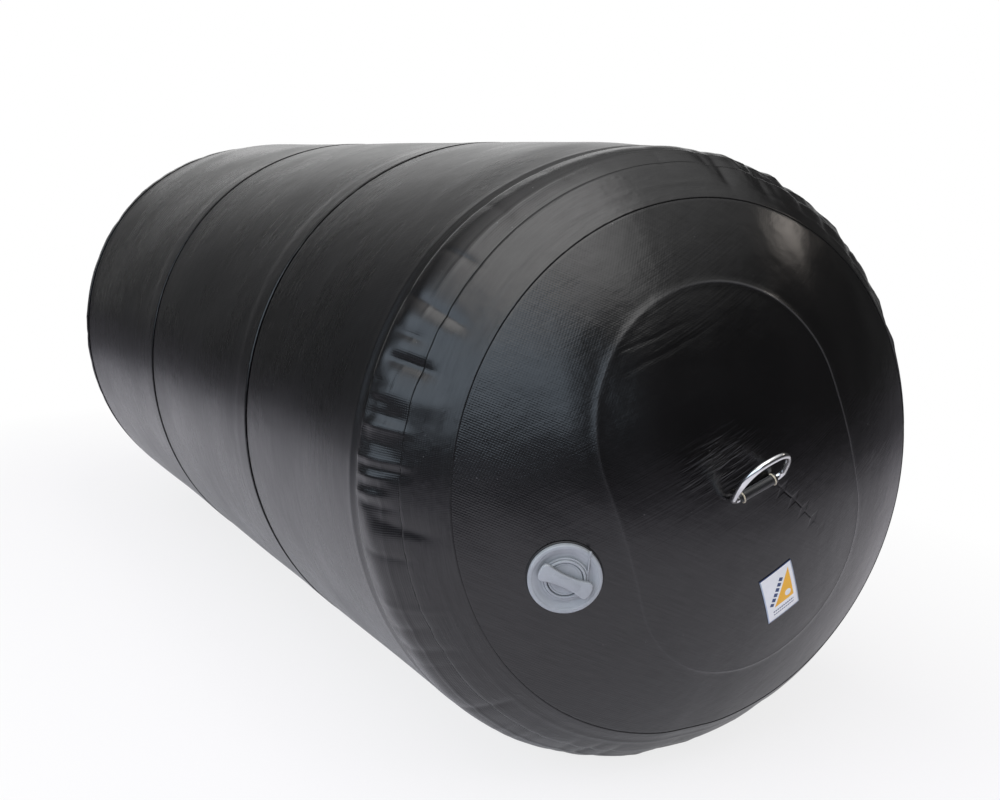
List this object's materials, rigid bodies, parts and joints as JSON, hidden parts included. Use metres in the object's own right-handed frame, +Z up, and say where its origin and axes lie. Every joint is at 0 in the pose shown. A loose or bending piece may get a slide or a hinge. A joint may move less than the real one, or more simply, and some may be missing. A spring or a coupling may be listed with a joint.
{
  "type": "inflatable boat fender",
  "caption": "Inflated cylindrical fender of welded coated fabric with domed ends, a hinged D-ring on each end, and an air valve with a turning cap.",
  "frame": {"origin": "under the middle of the tube, between the two end seams, on the small flat that it lies on", "axes": "+X along the tube towards the end with the valve, +Z up, +Y to the left as seen from the valve end's back"},
  "size_m": [1.6209, 0.6086, 0.6076],
  "materials": {
    "skin": "satin, finely woven coated fabric",
    "tape": "satin welded tape",
    "patch": "matt coated fabric",
    "webbing": "woven webbing",
    "thread": "thick sewing thread",
    "steel": "polished stainless steel",
    "valve": "moulded, pale grey blue",
    "seal": "soft rubber",
    "label": "bare label plate"
  },
  "bodies": {
    "shell": {"body_panel_near": "skin", "body_panel_middle": "skin", "body_panel_far": "skin", "end_cap_near": "skin", "end_cap_far": "skin", "shoulder_tape_near": "tape", "inner_tape_near": "tape", "ring_patch_near": "patch", "ring_strap_near": "webbing", "bar_tack_near_1": "thread", "bar_tack_near_2": "thread", "shoulder_tape_far": "tape", "inner_tape_far": "tape", "ring_patch_far": "patch", "ring_strap_far": "webbing", "bar_tack_far_1": "thread", "bar_tack_far_2": "thread", "valve_body": "valve", "valve_nut": "valve", "valve_leash": "valve", "valve_gasket": "seal", "valve_spring": "steel", "label_plate": "label"},
    "ring_near": {"d_ring_near": "steel"},
    "ring_far": {"d_ring_far": "steel"},
    "valve_cap": {"valve_cap": "valve", "valve_cap_seal": "seal"},
    "valve_poppet": {"valve_poppet": "valve", "valve_diaphragm": "seal"}
  },
  "joints": [
    {"name": "ring_near_swing", "type": "hinge", "parent": "shell", "child": "ring_near", "pos_m": [0.78951, -0.0049, 0.30972], "axis": [0, 0.9385, 0.3453], "range_deg": [-46, 138]},
    {"name": "ring_far_swing", "type": "hinge", "parent": "shell", "child": "ring_far", "pos_m": [-0.7896, 0, 0.30352], "axis": [0, 1, 0], "range_deg": [-2, 182]},
    {"name": "valve_cap_turn", "type": "hinge", "parent": "shell", "child": "valve_cap", "pos_m": [0.73823, -0.168, 0.23852], "axis": [0.8915, -0.4225, -0.1635], "range_deg": [0, 90]},
    {"name": "valve_poppet_press", "type": "slide", "parent": "shell", "child": "valve_poppet", "axis": [-0.8915, 0.4225, 0.1635], "range_m": [0, 0.004], "stiffness_N_per_m": 60, "springref_m": -0.002, "deforming": ["valve_spring"]}
  ]
}
